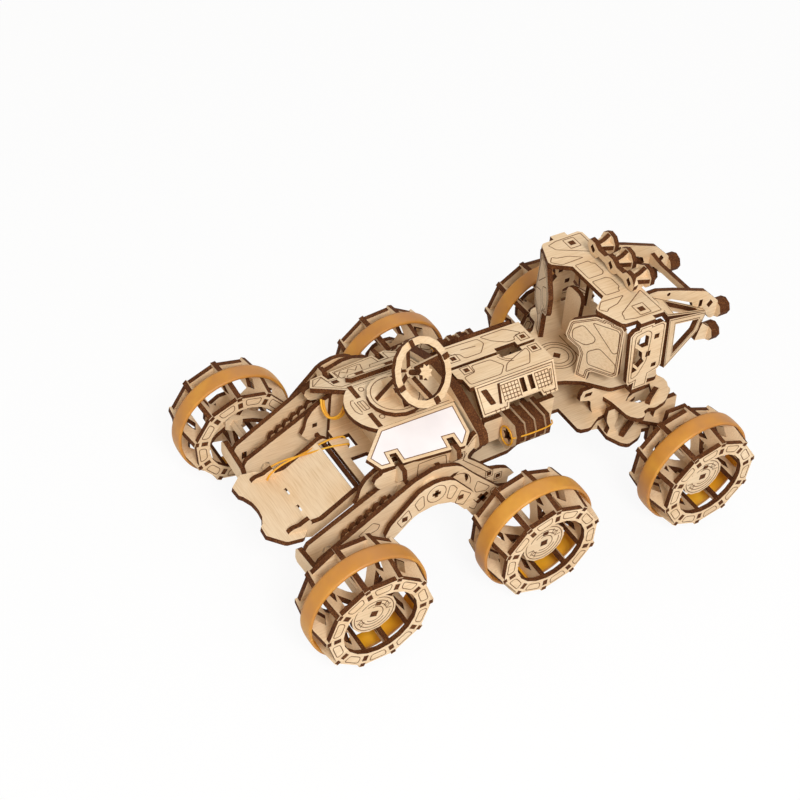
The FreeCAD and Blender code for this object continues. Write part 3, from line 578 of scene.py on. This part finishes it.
ROOF, DECK = flat_at(62.0), flat_at(55.5)
ROOF_CELLS = (
    [(-0.6, -2.6), (11.9, -2.8), (16.4, -10.0), (11.0, -15.6), (-9.0, -15.4), (-9.2, -9.0),
     (-1.0, -7.6)],
    [(29.4, -5.4), (35.8, -3.2), (35.6, -7.3), (30.6, -14.9), (14.1, -15.2), (18.7, -9.7)],
    [(-8.5, 16.0), (14.8, 15.2), (16.5, 10.6), (10.6, 4.3), (0.1, 4.3), (-1.2, 8.7),
     (-6.0, 10.0)],
    [(17.0, 15.8), (33.2, 15.9), (40.6, 9.2), (34.6, 7.6), (34.2, 5.4), (29.0, 5.4),
     (21.6, 10.1)])
ROOF_TENONS = ((-4.8, -4.4), (40.0, -5.3), (-6.3, 6.9), (39.6, 5.8))
ROOF_ARCS_X = 26.0                          # middle of the two arcs on the roof
# The deck's tail carries a small panel of cells, two burnt tenon ends and two rings.
DECK_TENONS = ((-65.4, 13.8, 10.6), (-66.1, -10.4, 11.8))       # middle, and length across
DECK_RINGS = ((-60.7, 14.0), (-61.3, -9.6))
DECK_INNER = [(-68.0, 6.0), (-64.2, 5.8), (-63.9, -1.3), (-67.5, -1.5)]
DECK_OUTER = [(-69.2, 8.3), (-70.8, 8.2), (-72.0, 5.6), (-72.4, 0.2), (-71.0, -3.0),
              (-69.4, -3.6)]
DECK_LINE_Y = 14.96                         # where the two lines along the deck lie


def mark_roof_and_deck(marks):
    for cell in ROOF_CELLS:
        marks.cell(ROOF, cell, 1.4)
    for x, y in ROOF_TENONS:
        marks.box(ROOF, x, y, 3.2, 3.0)
        marks.path(ROOF, [(x + a, y + b) for a, b in rectangle(6.0, 5.6)])
    marks.path(ROOF, [(1.2, 11.4), (10.9, 10.5)], False)
    for radius in (8.0, 9.6):
        marks.ring(ROOF, ROOF_ARCS_X, 0.0, radius, 195.0, 60.0)
    for x, y, length in DECK_TENONS:
        marks.box(DECK, x, y, PLY, length)
    for x, y in DECK_RINGS:
        marks.ring(DECK, x, y, 1.5)
    marks.cell(DECK, DECK_INNER, 0.6)
    marks.path(DECK, [(-66.4, 6.0), (-66.0, -1.4)], False)
    marks.path(DECK, rounded(DECK_OUTER, 0.8)[:-1], False)
    marks.path(DECK, [(-69.4, 6.6), (-69.2, -2.2)], False)
    for y in (-DECK_LINE_Y, DECK_LINE_Y):
        marks.path(DECK, [(-50.0, y), (-22.0, y)], False)


SLOPE = sloping(17.0, 55.5, 15.1)
BAR_TOP = sloping(17.0, 55.5, 15.1, PLY)
LEFT_ZIGZAG = [(-64.0, 16.5), (-61.0, 20.5), (-58.5, 16.8), (-55.5, 20.5), (-53.0, 16.8),
               (-50.0, 20.5)]
LEFT_ZIGZAG_FRAME = [(-64.0, 13.4), (-50.0, 13.4), (-47.5, 21.6), (-64.0, 21.6)]
LEFT_CELL = [(-45.0, 14.0), (-28.0, 14.0), (-26.0, 17.5), (-43.5, 17.5)]
LEFT_SEAM = [(-80.6, 14.8), (-72.6, 21.0), (-71.4, 8.6), (-68.5, 5.0), (-27.0, 3.4)]


def mark_slopes(marks):
    """The right sloped panel carries a blank sticker, the left one a raised bar."""
    right = patch_of("sloped_panel_right", SLOPE.out)
    outline = right.loops()[0]
    marks.fill(inset(outline, right.normal, 2.1), right.normal, WHITE, STICKER_LIFT)
    marks.trace(inset(outline, right.normal, 2.0), right.normal)
    left, bar = SLOPE.mirrored(), BAR_TOP.mirrored()
    marks.border("sloped_panel_left", left.out, (1.6,))
    marks.border("sloped_panel_left", left.out, (0.9,), rank=1)
    marks.box(left, -68.6, 12.0, 4.0, 3.6)
    for x in (-55.5, -36.5):
        marks.box(bar, x, 7.8, 5.4, 2.4)
    marks.path(left, LEFT_ZIGZAG, False)
    marks.cell(left, LEFT_ZIGZAG_FRAME, 0.8)
    marks.path(left, LEFT_CELL)
    marks.path(left, LEFT_SEAM, False)


KEYPAD = sloping(17.5, 61.5, 47.6)
KEYS = sloping(17.5, 61.5, 47.6, PLY)
KEY_BLOCKS = ((6.2, 5), (28.6, 4))          # where a block of keys begins, and its columns
KEY_COLUMN, KEY_ROW = 2.2, 2.15
KEY_TOP, KEY_BOTTOM = 3.4, 13.1             # the upright lines' ends, down the slope
FIRST_ROW_LINE, ROW_LINES = 3.7, 5
KEY_SLIT = [(38.4, 4.4), (39.6, 4.4), (38.0, 12.0), (37.2, 12.0)]
KEY_INSET = [(-5.2, 3.2), (-1.2, 3.2), (2.2, 12.6), (-1.6, 12.6)]
LIP_TICKS = (0.5, 3.5, 6.5, 34.0, 37.0, 40.0)


def mark_keypads(marks):
    """Two blocks of square keys and a slit on each raised plate, with an inset and ticks beside."""
    for side, face, base in (("right", KEYS, KEYPAD),
                             ("left", KEYS.mirrored(), KEYPAD.mirrored())):
        for start, columns in KEY_BLOCKS:
            for i in range(columns + 1):
                x = start + KEY_COLUMN * i
                marks.path(face, [(x, KEY_TOP), (x, KEY_BOTTOM)], False)
            for i in range(ROW_LINES):
                v = FIRST_ROW_LINE + KEY_ROW * i
                marks.path(face, [(start, v), (start + KEY_COLUMN * columns, v)], False)
        marks.border("keypad_panel_" + side, face.out, (1.3,))
        marks.path(face, KEY_SLIT)
        for x in LIP_TICKS:
            marks.path(base, [(x, 15.6), (x, 17.4)], False, 0.6)
        marks.fill([base.at(a, b) for a, b in rounded(KEY_INSET, 0.8)], base.out, BURNT, LIFT)


REAR_AXLE_X, MIDDLE_AXLE_X, FRONT_AXLE_X = -107.75, 0.0, 111.67
BOGIE, COVER, HULL = right_side(50.0), right_side(56.5), right_side(40.0)
PIVOT_X, PIVOT_Z = -54.0, 35.8              # middle of the cover, over the bogie's pivot
BOGIE_CELLS = (
    [(-23.8, 19.5), (-22.6, 25.0), (-13.4, 16.6), (-15.7, 14.4), (-22.7, 16.2)],
    [(-25.6, 5.6), (-26.6, 9.6), (-23.6, 11.2), (-20.2, 6.4), (-21.8, 2.4)],
    [(-12.6, 12.8), (-10.5, 14.8), (-4.5, 9.6), (-5.4, 8.6), (-11.0, 8.4)],
    [(-97.0, 17.6), (-88.4, 23.6), (-83.9, 20.4), (-85.0, 17.1), (-93.5, 15.2)],
    [(-77.2, 16.2), (-72.4, 21.0), (-67.7, 19.4), (-65.8, 17.6), (-73.0, 9.5), (-79.4, 9.4)],
    [(-108.0, 8.4), (-98.0, 14.2), (-94.4, 12.4), (-96.0, 7.4), (-105.0, 5.2)])
COVER_CELLS = (
    [(-47.0, 29.4), (-45.8, 38.0), (-43.4, 37.4), (-40.6, 33.6), (-43.8, 27.2)],
    [(-38.0, 31.0), (-31.0, 25.4), (-35.2, 18.6), (-41.0, 22.4)],
    [(-61.0, 29.4), (-62.2, 38.0), (-64.6, 37.4), (-67.4, 33.6), (-64.2, 27.2)],
    [(-71.0, 31.4), (-77.6, 25.0), (-74.2, 19.4), (-68.4, 24.6)])
COVER_TENONS = ((-37.6, 25.6), (-72.8, 25.2))
CROSS_X, CROSS_Z = -17.5, 9.7               # a crossed tenon's middle on the bogie's front arm
CROSS_TURN = 0.7                            # its turn, in radians
BOGIE_ARC = (-37.0, 27.0, 9.6, -10.0, 110.0)        # middle, radius, start and sweep
HULL_CELL = [(-56.0, 44.0), (-44.0, 44.0), (-38.6, 43.4), (-37.4, 36.4), (-46.0, 33.6),
             (-56.0, 34.0)]
HULL_UPPER_LINE = [(-24.6, 43.0), (-21.6, 47.8), (-19.0, 49.6), (-13.8, 47.6)]
HULL_LOWER_LINE = [(-24.8, 38.4), (-26.6, 33.8), (-19.6, 27.2), (-14.2, 22.2), (-8.0, 16.0)]


def mark_bogies(marks):
    for side, face, cover, hull in (
            ("right", BOGIE, COVER, HULL),
            ("left", BOGIE.mirrored(), COVER.mirrored(), HULL.mirrored())):
        for cell in BOGIE_CELLS:
            marks.cell(face, cell, 1.2)
        for x in (CROSS_X, 2 * PIVOT_X - CROSS_X):
            marks.box(face, x, CROSS_Z, 8.4, 3.2, CROSS_TURN)
            marks.box(face, x, CROSS_Z, 3.2, 7.6, CROSS_TURN)
        for x in (MIDDLE_AXLE_X, REAR_AXLE_X):
            marks.ring(face, x, 0.0, 5.0)
        marks.ring(face, *BOGIE_ARC)
        for cell in COVER_CELLS:
            marks.cell(cover, cell, 1.0)
        marks.ring(cover, PIVOT_X, PIVOT_Z, 5.9)
        marks.box(cover, PIVOT_X, PIVOT_Z, 5.2, 2.2)
        marks.box(cover, PIVOT_X, PIVOT_Z, 2.2, 5.2)
        for x, z in COVER_TENONS:
            marks.box(cover, x, z, 3.4, 3.4)
        marks.cell(hull, HULL_CELL, 1.0)
        marks.path(hull, HULL_UPPER_LINE, False)
        marks.path(hull, HULL_LOWER_LINE, False)
        marks.border("hull_side_" + side, hull.out, holes=(0.9,))


def mark_chassis():
    marks = Marks("engraving_chassis", "chassis")
    mark_cab(marks)
    mark_roof_and_deck(marks)
    mark_slopes(marks)
    mark_keypads(marks)
    mark_bogies(marks)
    marks.finish()


def mark_antenna():
    """One ring round the top of the turntable."""
    marks = Marks("engraving_antenna", "antenna")
    marks.ring(flat_at(59.0), -47.8, 0.0, 13.4)
    marks.finish()


# --- wheels ----------------------------------------------------------------------------------

# A row is the axle, where it is, and the angles at which its left and right wheels stand.
AXLES = (("rear", REAR_AXLE_X, 30.1, 17.3), ("mid", MIDDLE_AXLE_X, 12.0, 0.0),
         ("front", FRONT_AXLE_X, 21.0, 3.6))
WHEEL_SIDES = 10
WHEEL_OUTER_Y, WHEEL_INNER_Y = 94.0, 60.0   # faces of the two side rings
HUB_Y = 87.0                                # face of the recessed hub disc
WHEEL_CELL = [(-4.0, 23.9), (-5.2, 28.2), (5.2, 28.2), (4.0, 23.9)]    # about a side's middle
FIN_TENONS = ((25.6, 4.0), (30.4, 2.4))     # a tenon's distance from the axle, and its height
# A row is an arc's radius, its start and its sweep in degrees.
HUB_ARCS = ((11.8, 0, 360), (9.6, 20, 120), (9.6, 170, 150), (7.4, 40, 110), (7.4, 200, 130),
            (5.4, 60, 240))
HUB_ZIGZAG = [(-10.2, 3.4), (-6.6, 3.0), (-8.2, 6.4), (-4.4, 5.2), (-5.4, 9.0)]


def wheel_face(x, y, angle, outward):
    """A wheel's flat face, with v along the fin that stands at its rest angle."""
    turn = math.radians(angle)
    v = Vector((math.sin(turn), 0.0, math.cos(turn)))
    return Face((x, y, 0.0), v.cross(Vector((0, 1, 0))), v, (0, outward, 0))


def turned_about(points, degrees):
    c, s = math.cos(math.radians(degrees)), math.sin(math.radians(degrees))
    return [(c * a - s * b, s * a + c * b) for a, b in points]


def mark_wheel(name, x, angle, side):
    marks = Marks("engraving_" + name, name)
    for face in (wheel_face(x, side * WHEEL_OUTER_Y, angle, side),
                 wheel_face(x, side * WHEEL_INNER_Y, angle, -side)):
        for i in range(WHEEL_SIDES):
            fin, middle = 360.0 / WHEEL_SIDES * i, 360.0 / WHEEL_SIDES * (i + 0.5)
            marks.path(face, turned_about(rounded(WHEEL_CELL, 1.6), middle))
            for radius, high in FIN_TENONS:
                a, b = turned_about([(0.0, radius)], fin)[0]
                marks.box(face, a, b, PLY, high, math.radians(fin))
    hub = wheel_face(x, side * HUB_Y, angle, side)
    for radius, start, sweep in HUB_ARCS:
        marks.ring(hub, 0.0, 0.0, radius, start, sweep)
    marks.path(hub, HUB_ZIGZAG, False)
    marks.path(hub, [(-a, -b) for a, b in HUB_ZIGZAG], False)
    marks.box(hub, 0.0, 0.0, 4.4, 4.0)
    marks.box(hub, 0.0, 7.4, 3.6, 2.8)
    marks.finish()


TYRE_MIDDLE_Y = (WHEEL_OUTER_Y + WHEEL_INNER_Y) / 2
TYRE_WIDTH = 10.5
TYRE_INNER_R = 33.65
TYRE_OUTER_R = 35.55
TYRE_CORNER = 0.55         # radius of the section's inner corners
CORNER_IN, CORNER_UP = 0.15, 0.2            # where the middle of such a corner lies
TYRE_CROWN = 0.35          # how much the outside falls to the tyre's rims
CROWN_POWER = 2.5
RIM_IN = 0.12              # how far the outer corners stand inside the full width
CROWN_STEPS = 8
TYRE_STEPS = 144


def tyre_section():
    """Crowned band section: (distance from the wheel's middle plane, radius)."""
    half = TYRE_WIDTH / 2
    points = [(-half + TYRE_CORNER, TYRE_INNER_R), (half - TYRE_CORNER, TYRE_INNER_R),
              (half - CORNER_IN, TYRE_INNER_R + CORNER_UP), (half, TYRE_INNER_R + TYRE_CORNER)]
    for i in range(CROWN_STEPS + 1):
        t = 1 - 2 * i / CROWN_STEPS
        reach = half if abs(t) < 1 else half - RIM_IN
        points.append((reach * t, TYRE_OUTER_R - TYRE_CROWN * abs(t) ** CROWN_POWER))
    points += [(-half, TYRE_INNER_R + TYRE_CORNER),
               (-half + CORNER_IN, TYRE_INNER_R + CORNER_UP)]
    return points


def add_tyre(name, x, side):
    """A smooth band in place of the plain one, brighter on its inside."""
    section = tyre_section()
    count = len(section)
    points, faces, inner = [], [], []
    for i in range(TYRE_STEPS):
        angle = 2 * math.pi * i / TYRE_STEPS
        for across, radius in section:
            points.append(place(x + radius * math.sin(angle), side * TYRE_MIDDLE_Y + across,
                                radius * math.cos(angle)))
    for i in range(TYRE_STEPS):
        for k in range(count):
            a, b = i * count + k, i * count + (k + 1) % count
            c = (i + 1) % TYRE_STEPS * count
            faces.append((a, b, c + (k + 1) % count, c + k))
            inner.append(k == 0)      # the section's first side is the band's inside
    mesh = bpy.data.meshes.new("band_" + name)
    mesh.from_pydata(points, [], faces)
    mesh.materials.append(RUBBER)
    mesh.materials.append(BRIGHT)
    for polygon, within in zip(mesh.polygons, inner):
        polygon.use_smooth = True
        polygon.material_index = 1 if within else 0
    piece = bpy.data.objects.new("band_" + name, mesh)
    bpy.context.scene.collection.objects.link(piece)
    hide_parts("tyre_" + name)
    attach(piece, "wheel_" + name)


# --- rubber bands ------------------------------------------------------------------------------

def add_cord(name, points, radius, body, closed=False):
    """A round band through these layout points, riding on a body if one is named."""
    curve = bpy.data.curves.new(name, "CURVE")
    curve.dimensions = "3D"
    curve.bevel_depth = radius * MM
    curve.bevel_resolution = 2
    curve.use_fill_caps = not closed
    line = curve.splines.new("POLY")
    line.points.add(len(points) - 1)
    for spot, p in zip(line.points, points):
        spot.co = (*place(*p), 1.0)
    line.use_cyclic_u = closed
    shaped = bpy.data.objects.new(name + "_curve", curve)
    bpy.context.scene.collection.objects.link(shaped)
    bpy.context.view_layer.update()
    mesh = bpy.data.meshes.new_from_object(
        shaped.evaluated_get(bpy.context.evaluated_depsgraph_get()))
    bpy.data.objects.remove(shaped)
    mesh.materials.clear()
    mesh.materials.append(BRIGHT)
    for polygon in mesh.polygons:
        polygon.use_smooth = True
    piece = bpy.data.objects.new(name, mesh)
    bpy.context.scene.collection.objects.link(piece)
    if body:
        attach(piece, body)
    return piece


CORNER_CUTS = 2            # rounds of cutting
LONGEST_STEP = 3.0         # millimetres between a band's points, at most


def drawn(points):
    """A smooth run along the points: each round cuts every corner at a quarter of its sides."""
    curve = [Vector(p) for p in points]
    for _ in range(CORNER_CUTS):
        finer = [curve[0]]
        for a, b in zip(curve, curve[1:]):
            finer += [a * 0.75 + b * 0.25, a * 0.25 + b * 0.75]
        curve = finer + [curve[-1]]
    return curve


def subdivided(points):
    """The same run with extra points along its long straights."""
    dense = [points[0]]
    for a, b in zip(points, points[1:]):
        count = max(1, math.ceil((b - a).length / LONGEST_STEP))
        dense += [a.lerp(b, i / count) for i in range(1, count + 1)]
    return dense


RAMP_STRANDS = (
    [(-114.6, 19.6, 3.0), (-113.6, 19.4, 7.6), (-110.0, 20.0, 10.0), (-103.0, 20.3, 12.6),
     (-90.0, 19.6, 15.6), (-79.0, 18.2, 20.8), (-70.4, 17.2, 21.2), (-67.8, 16.6, 20.8),
     (-67.6, 15.6, 19.0)],
    [(-114.6, 23.2, 3.0), (-113.6, 23.4, 7.6), (-110.0, 23.4, 10.0), (-103.0, 22.4, 12.6),
     (-90.0, 17.6, 16.2), (-79.0, 13.0, 20.8), (-71.0, 10.6, 21.2), (-68.2, 10.4, 20.6),
     (-67.8, 11.0, 18.8)])
DECK_STRAND = ((-77.6, 27.6, 44.0), (-78.6, 24.5, 40.0), (-77.4, 20.0, 36.0),
               (-73.6, 17.2, 37.0), (-71.2, 15.6, 41.0), (-70.4, 14.8, 47.0))
SECOND_STRAND_ASIDE, SECOND_STRAND_DOWN = 1.6, 1.28
# The tank's points are (x, distance from the rover's middle, z).
TANK_RUN = ((3.6, 41.6, 38.6), (5.0, 42.8, 39.0), (16.0, 44.6, 40.0), (29.0, 44.4, 40.4),
            (30.6, 41.0, 40.4))
TANK_LOOP_MIDDLE = (4.6, 35.7, 35.0)
TANK_LOOP_WIDE, TANK_LOOP_HIGH = 5.4, 5.8
TANK_LOOP_POINTS = 24


def add_ramp_bands():
    """Two strands from beside the ramp's left hook to the two tongues in the cargo floor."""
    for i, points in enumerate(RAMP_STRANDS):
        piece = add_cord("ramp_band_%d" % (i + 1), subdivided(drawn(points)), 0.55, None)
        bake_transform(piece)


def add_hull_bands():
    """Two strands at the bulkhead, and one strand and one loop on each tank."""
    for i in range(2):
        points = [(x + i * SECOND_STRAND_ASIDE, y, z - i * SECOND_STRAND_DOWN)
                  for x, y, z in DECK_STRAND]
        add_cord("deck_band_%d" % (i + 1), subdivided(drawn(points)), 0.7, "chassis")
    middle_x, middle_y, middle_z = TANK_LOOP_MIDDLE
    turns = [2 * math.pi / TANK_LOOP_POINTS * k for k in range(TANK_LOOP_POINTS)]
    for side, sign in (("right", -1), ("left", 1)):
        run = [(x, sign * y, z) for x, y, z in TANK_RUN]
        add_cord("tank_band_" + side, subdivided(drawn(run)), 0.45, "chassis")
        loop = [(middle_x, sign * (middle_y + TANK_LOOP_WIDE * math.cos(t)),
                 middle_z + TANK_LOOP_HIGH * math.sin(t)) for t in turns]
        add_cord("tank_loop_" + side, loop, 0.5, "chassis", True)


mark_chassis()
mark_antenna()
for axle, axle_x, left_angle, right_angle in AXLES:
    for label, sign, rest_angle in (("left", 1, left_angle), ("right", -1, right_angle)):
        mark_wheel("wheel_%s_%s" % (axle, label), axle_x, rest_angle, sign)
        add_tyre("%s_%s" % (axle, label), axle_x, sign)
add_ramp_bands()
add_hull_bands()


# --- camera, light and floor --------------------------------------------------------------

CAMERA_AZIMUTH = math.radians(-34.95)
CAMERA_ELEVATION = math.radians(42.53)
CAMERA_ROLL = math.radians(5.711)
CAMERA_DISTANCE = 931.6            # millimetres, from the middle axle
CAMERA_ASIDE = (-33.79, 25.01)     # the same, to its own right and upwards
LENS, SENSOR = 72.46, 36.0

WORLD_COLOUR, WORLD_STRENGTH = (1.0, 0.93, 0.83, 1.0), 0.44
FLOOR_SIZE = 12.0
FLOOR_COLOUR = (0.86, 0.86, 0.86, 1.0)
FLOOR_GLOW = 0.92                  # the share of plain white in what the camera sees of the floor
# A row is a lamp's name, its place in metres, its power in watts and its width in metres.
LAMPS = (("key", (-0.30, -0.95, 1.05), 14.8, 0.45), ("fill", (-1.2, -0.2, 0.8), 1.8, 0.9),
         ("rim", (0.7, 0.9, 1.3), 3.0, 0.8))


def add_camera():
    a, e = CAMERA_AZIMUTH, CAMERA_ELEVATION
    back = Vector((math.sin(a) * math.cos(e), -math.cos(a) * math.cos(e), math.sin(e)))
    level = Vector((math.cos(a), math.sin(a), 0.0))
    upward = back.cross(level)
    right = level * math.cos(CAMERA_ROLL) + upward * math.sin(CAMERA_ROLL)
    up = upward * math.cos(CAMERA_ROLL) - level * math.sin(CAMERA_ROLL)
    spot = back * CAMERA_DISTANCE + right * CAMERA_ASIDE[0] + up * CAMERA_ASIDE[1]
    data = bpy.data.cameras.new("camera")
    data.lens, data.sensor_width = LENS, SENSOR
    camera = bpy.data.objects.new("camera", data)
    turn = Matrix((right, up, back)).transposed().to_4x4()
    camera.matrix_world = Matrix.Translation(place(*spot)) @ turn
    bpy.context.scene.collection.objects.link(camera)
    bpy.context.scene.camera = camera


def add_area(name, spot, energy, size):
    """A square lamp that looks at the rover's middle."""
    data = bpy.data.lights.new(name, "AREA")
    data.energy, data.size = energy, size
    lamp = bpy.data.objects.new(name, data)
    lamp.location = spot
    lamp.rotation_euler = (-Vector(spot)).to_track_quat("-Z", "Y").to_euler()
    bpy.context.scene.collection.objects.link(lamp)


def shown_directly(tree):
    """1 on what the camera, a reflection or a transmitted ray sees, 0 on what lights others."""
    path = tree.nodes.new("ShaderNodeLightPath")
    total = path.outputs["Is Camera Ray"]
    for name in ("Is Glossy Ray", "Is Transmission Ray"):
        add = tree.nodes.new("ShaderNodeMath")
        add.operation, add.use_clamp = "ADD", True
        tree.links.new(total, add.inputs[0])
        tree.links.new(path.outputs[name], add.inputs[1])
        total = add.outputs[0]
    return total


def add_world():
    world = bpy.data.worlds.new("studio")
    bpy.context.scene.world = world
    world.use_nodes = True
    tree = world.node_tree
    lit = tree.nodes["Background"]
    lit.inputs["Color"].default_value = WORLD_COLOUR
    lit.inputs["Strength"].default_value = WORLD_STRENGTH
    seen = tree.nodes.new("ShaderNodeBackground")
    seen.inputs["Color"].default_value = (1.0, 1.0, 1.0, 1.0)
    mix = tree.nodes.new("ShaderNodeMixShader")
    tree.links.new(shown_directly(tree), mix.inputs["Fac"])
    tree.links.new(lit.outputs[0], mix.inputs[1])
    tree.links.new(seen.outputs[0], mix.inputs[2])
    tree.links.new(mix.outputs[0], tree.nodes["World Output"].inputs["Surface"])


def add_floor():
    """Pale floor that reads as white and still keeps the rover's soft shadow."""
    material, tree, shader = new_material("pale_floor")
    shader.inputs["Base Color"].default_value = FLOOR_COLOUR
    shader.inputs["Roughness"].default_value = 0.9
    glow = tree.nodes.new("ShaderNodeEmission")
    share = tree.nodes.new("ShaderNodeMath")
    share.operation = "MULTIPLY"
    share.inputs[1].default_value = FLOOR_GLOW
    tree.links.new(shown_directly(tree), share.inputs[0])
    mix = tree.nodes.new("ShaderNodeMixShader")
    tree.links.new(share.outputs[0], mix.inputs["Fac"])
    tree.links.new(shader.outputs[0], mix.inputs[1])
    tree.links.new(glow.outputs[0], mix.inputs[2])
    tree.links.new(mix.outputs[0], tree.nodes["Material Output"].inputs["Surface"])
    bpy.ops.mesh.primitive_plane_add(size=FLOOR_SIZE, location=(0, 0, 0))
    floor = bpy.context.object
    floor.name = "floor"
    floor.data.materials.append(material)


add_camera()
add_world()
add_floor()
for lamp_row in LAMPS:
    add_area(*lamp_row)
bpy.context.scene.view_settings.view_transform = "Standard"
